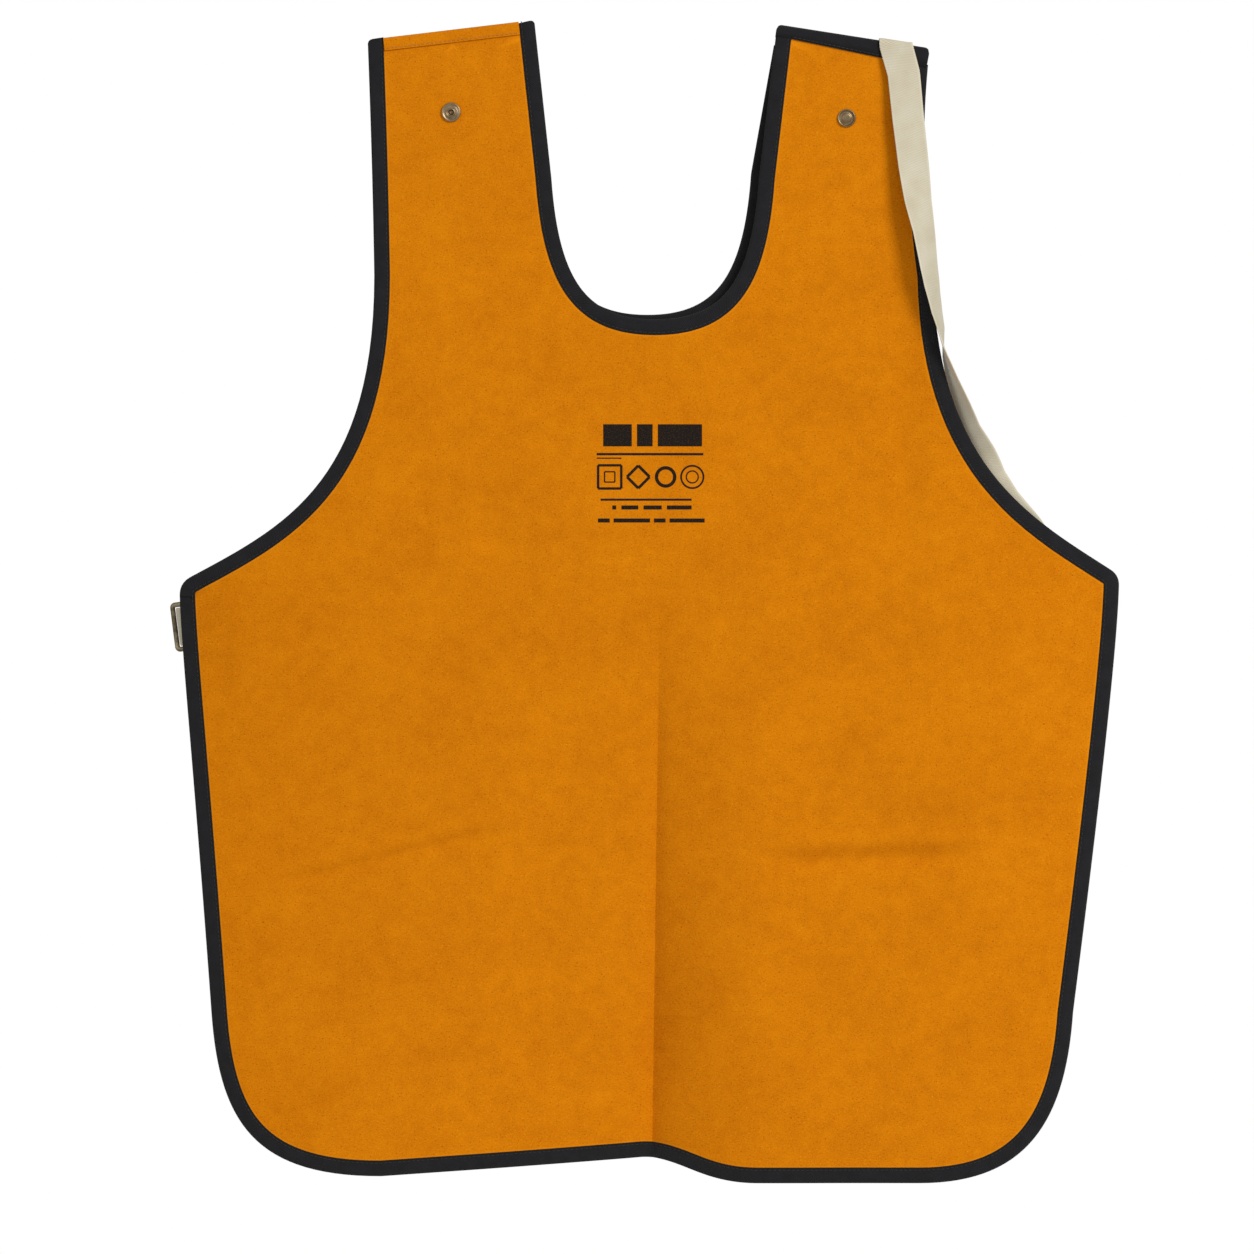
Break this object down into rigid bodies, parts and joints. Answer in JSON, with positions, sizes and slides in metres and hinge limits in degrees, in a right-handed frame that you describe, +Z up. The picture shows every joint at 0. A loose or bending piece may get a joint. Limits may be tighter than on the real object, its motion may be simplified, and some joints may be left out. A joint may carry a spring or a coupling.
{
  "type": "welding apron",
  "caption": "Split-leather tabard apron with a bound edge, a back yoke, shoulder snaps and a webbing belt that closes in a hip buckle.",
  "frame": {"origin": "middle of the line joining the two shoulder folds, where the apron hangs on the wearer's shoulders or a hanger", "axes": "+Z up, -Y out of the front of the apron, +X to the right as seen from the front"},
  "size_m": [0.7332, 0.0514, 0.8933],
  "materials": {
    "leather": "napped split suede, matt",
    "binding_tape": "woven tape, matt",
    "webbing": "woven cotton, matt",
    "antique_brass": "antiqued, satin"
  },
  "bodies": {
    "front": {"front_panel": "leather", "left_shoulder_fold": "leather", "neck_binding": "binding_tape", "left_armhole_binding": "binding_tape", "skirt_binding": "binding_tape", "right_shoulder_tape": "binding_tape", "left_snap_socket": "antique_brass", "left_snap_post": "antique_brass", "right_snap_stud": "antique_brass", "right_snap_post": "antique_brass", "waist_belt": "webbing", "hip_tab_anchor": "webbing"},
    "yoke": {"back_yoke": "leather", "yoke_neck_binding": "binding_tape", "yoke_outer_binding": "binding_tape"},
    "tail": {"belt_tail": "webbing"},
    "tab": {"hip_tab": "webbing"},
    "buckle": {"buckle_frame": "antique_brass"}
  },
  "joints": [
    {"name": "yoke_fold", "type": "hinge", "parent": "front", "child": "yoke", "pos_m": [0, 0.01, 0], "axis": [1, 0, 0], "range_deg": [0, 170]},
    {"name": "tail_swing", "type": "hinge", "parent": "yoke", "child": "tail", "pos_m": [0.189, 0.013, -0.0211], "axis": [1, 0, 0], "range_deg": [0, 75]},
    {"name": "tab_swing", "type": "hinge", "parent": "front", "child": "tab", "pos_m": [-0.34334, 0.01972, -0.4625], "axis": [0.1267, -0.0273, -0.9916], "range_deg": [0, 80]},
    {"name": "buckle_swing", "type": "hinge", "parent": "tab", "child": "buckle", "pos_m": [-0.35912, 0.0265, -0.4647], "axis": [-0.1267, 0.0273, 0.9916], "range_deg": [0, 45]}
  ]
}
